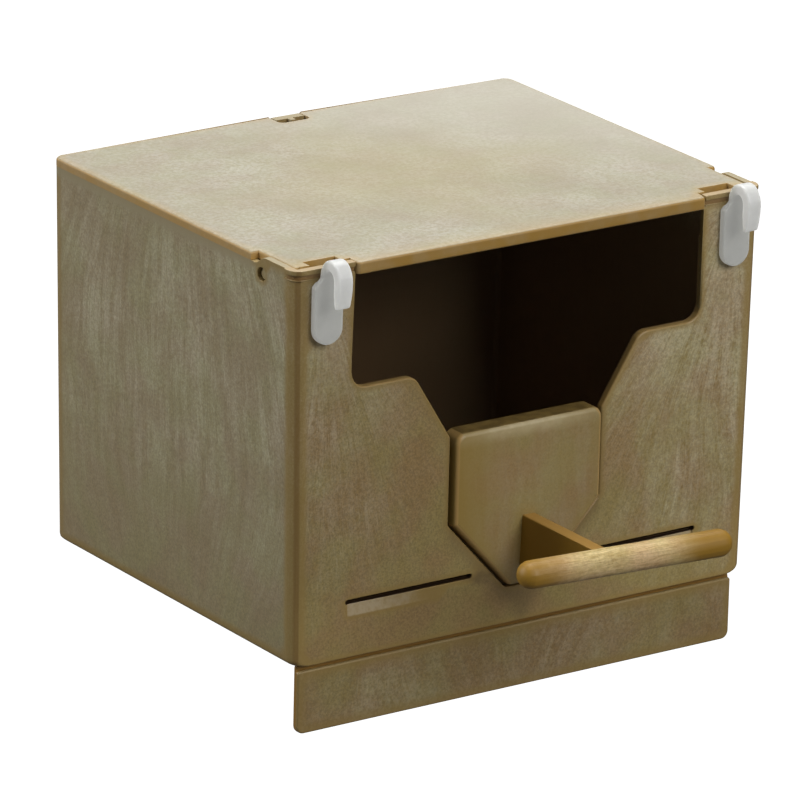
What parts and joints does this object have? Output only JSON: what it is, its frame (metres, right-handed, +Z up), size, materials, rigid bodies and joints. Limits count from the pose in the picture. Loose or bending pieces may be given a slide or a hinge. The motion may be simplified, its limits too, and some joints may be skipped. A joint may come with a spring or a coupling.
{
  "type": "hang-on nest box",
  "caption": "Moulded nest box that hangs on cage wire by two hooks, with a front-hinged lid, a stepped open front, a lift-out entrance plate carrying a T-shaped perch, and a skirt plate.",
  "frame": {"origin": "on the cage wire that the box hangs from, midway between the two hooks", "axes": "+X to the right seen from the front, along the wire; +Y to the rear, away from the cage; +Z up"},
  "size_m": [0.151, 0.1671, 0.1324],
  "materials": {
    "body_plastic": "wood-look moulding, satin, fine grey and tan streaks with ochre edges",
    "skirt_plastic": "wood-look moulding, satin, faint mottling",
    "lid_plastic": "wood-look moulding, satin, pale with fine mottling and ochre edges",
    "pin_plastic": "plain satin moulding",
    "entrance_plastic": "smooth satin moulding, olive ochre",
    "perch_plastic": "smooth satin moulding with lengthwise streaks and ochre ends",
    "hook_nylon": "natural white translucent nylon"
  },
  "bodies": {
    "box": {"nest_box_body": "body_plastic", "skirt_plate": "skirt_plastic"},
    "lid": {"lid": "lid_plastic", "hinge_pin_left": "pin_plastic", "hinge_pin_right": "pin_plastic"},
    "entrance": {"entrance_plate": "entrance_plastic", "perch": "perch_plastic"},
    "hook_left": {"hook_left": "hook_nylon"},
    "hook_right": {"hook_right": "hook_nylon"}
  },
  "joints": [
    {"name": "lid_hinge", "type": "hinge", "parent": "box", "child": "lid", "pos_m": [0, 0.0204, -0.0053], "axis": [1, 0, 0], "range_deg": [0, 88]},
    {"name": "entrance_lift", "type": "slide", "parent": "box", "child": "entrance", "axis": [0, 0, 1], "range_m": [0, 0.03]},
    {"name": "hook_left_swivel", "type": "hinge", "parent": "box", "child": "hook_left", "pos_m": [-0.0656, 0.0048, -0.0166], "axis": [0, -1, 0], "range_deg": [0, 90]},
    {"name": "hook_right_swivel", "type": "hinge", "parent": "box", "child": "hook_right", "pos_m": [0.0656, 0.0048, -0.0166], "axis": [0, 1, 0], "range_deg": [0, 90]}
  ]
}
